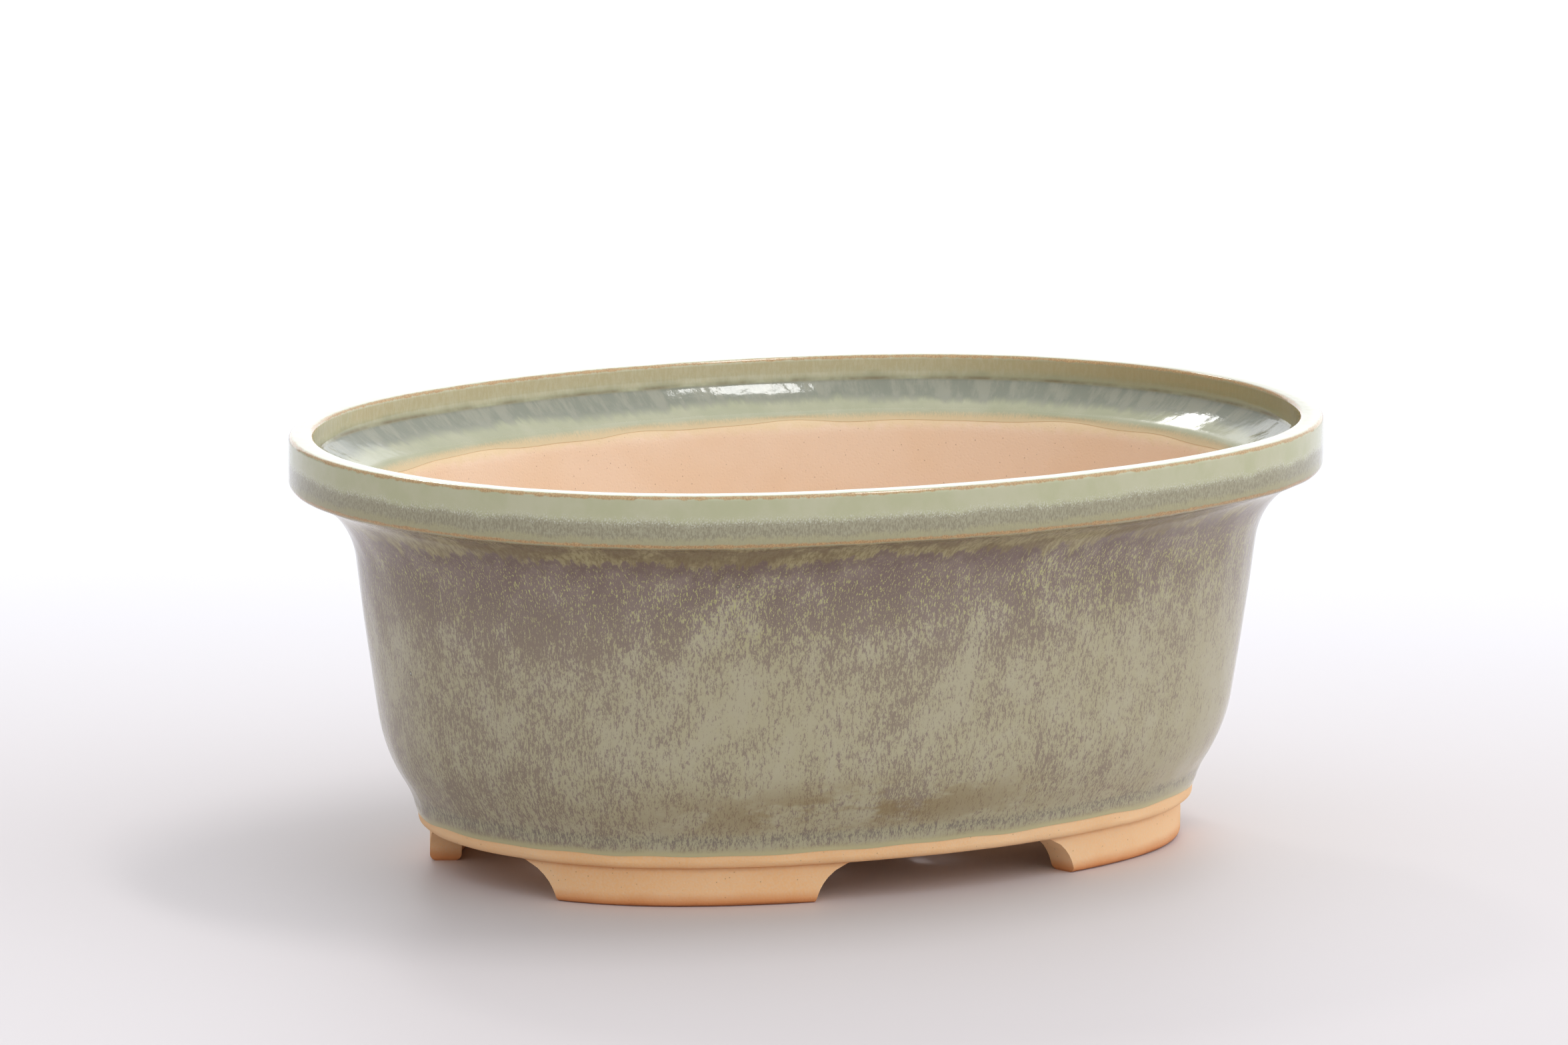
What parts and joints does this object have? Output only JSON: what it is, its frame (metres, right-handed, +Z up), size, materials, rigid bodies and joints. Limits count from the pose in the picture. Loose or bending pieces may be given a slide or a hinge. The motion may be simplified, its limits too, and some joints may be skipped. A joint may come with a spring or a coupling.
{
  "type": "bonsai pot",
  "caption": "Oval bonsai pot with an outward-turned banded rim, mottled glaze outside, bare clay inside, drain and wire holes, and feet at the corners.",
  "frame": {"origin": "on the table, under the middle of the pot", "axes": "+X along the pot's length, +Y across it towards the back, +Z up"},
  "size_m": [0.205, 0.158, 0.082],
  "materials": {
    "clay": "unglazed, fine grit, toasted orange at the feet's bottom edges",
    "glaze": "glossy, olive and cream streaks over mauve brown, with a pale green band"
  },
  "bodies": {
    "root": {"floor_slab": "clay", "wall": "clay", "rim": "clay", "glaze_coat": "glaze", "foot_front_left": "clay", "foot_front_right": "clay", "foot_back_left": "clay", "foot_back_right": "clay"}
  },
  "joints": []
}
